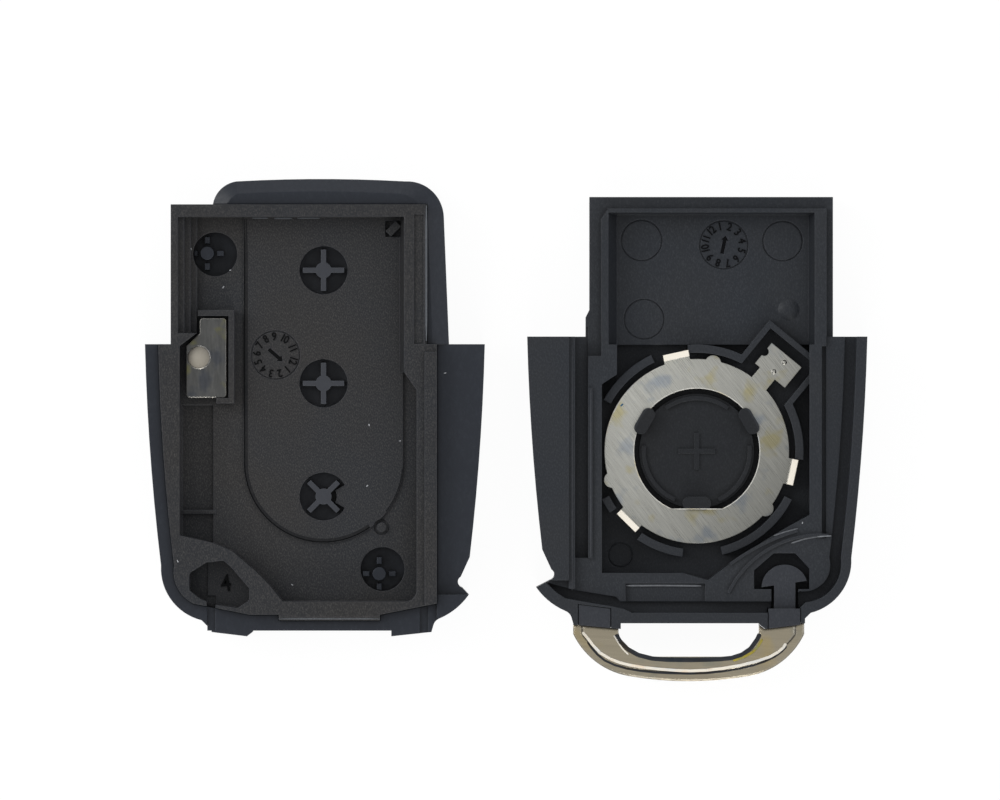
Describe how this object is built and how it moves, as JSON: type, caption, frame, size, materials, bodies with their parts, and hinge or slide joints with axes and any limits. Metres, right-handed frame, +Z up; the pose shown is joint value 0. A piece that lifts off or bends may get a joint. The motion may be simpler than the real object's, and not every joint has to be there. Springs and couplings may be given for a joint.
{
  "type": "flip key remote shell",
  "caption": "Opened plastic shell of a folding car key remote: a button half with an inner tray, and a battery half with a round contact and a key ring loop.",
  "frame": {"origin": "centre of the two halves' common outline, at the level of the surface they rest on", "axes": "+X from the button half to the battery half, +Y from the key ring loop to the necks, +Z up, out of the open sides"},
  "size_m": [0.0764, 0.0532, 0.0075],
  "materials": {
    "tray_plastic": "glass-filled moulding, fine speckle",
    "cover_plastic": "smooth satin moulding",
    "case_plastic": "glass-filled moulding, satin",
    "plate_steel": "pressed sheet, satin",
    "contact_nickel": "nickel-plated spring sheet",
    "loop_nickel": "satin warm nickel plating",
    "foot_plastic": "smooth moulding",
    "button_plastic": "smooth moulding"
  },
  "bodies": {
    "shell": {"front_tray": "tray_plastic", "front_cover": "cover_plastic", "rear_case": "case_plastic", "latch_plate": "plate_steel", "battery_contact": "contact_nickel", "key_ring_loop": "loop_nickel", "loop_foot_left": "foot_plastic", "loop_foot_right": "foot_plastic"},
    "lock_button_body": {"lock_button": "button_plastic"},
    "trunk_button_body": {"trunk_button": "button_plastic"},
    "unlock_button_body": {"unlock_button": "button_plastic"}
  },
  "joints": [
    {"name": "lock_press", "type": "slide", "parent": "shell", "child": "lock_button_body", "axis": [0, 0, 1], "range_m": [0, 0.0006], "stiffness_N_per_m": 400},
    {"name": "trunk_press", "type": "slide", "parent": "shell", "child": "trunk_button_body", "axis": [0, 0, 1], "range_m": [0, 0.0006], "stiffness_N_per_m": 400},
    {"name": "unlock_press", "type": "slide", "parent": "shell", "child": "unlock_button_body", "axis": [0, 0, 1], "range_m": [0, 0.0006], "stiffness_N_per_m": 400}
  ]
}
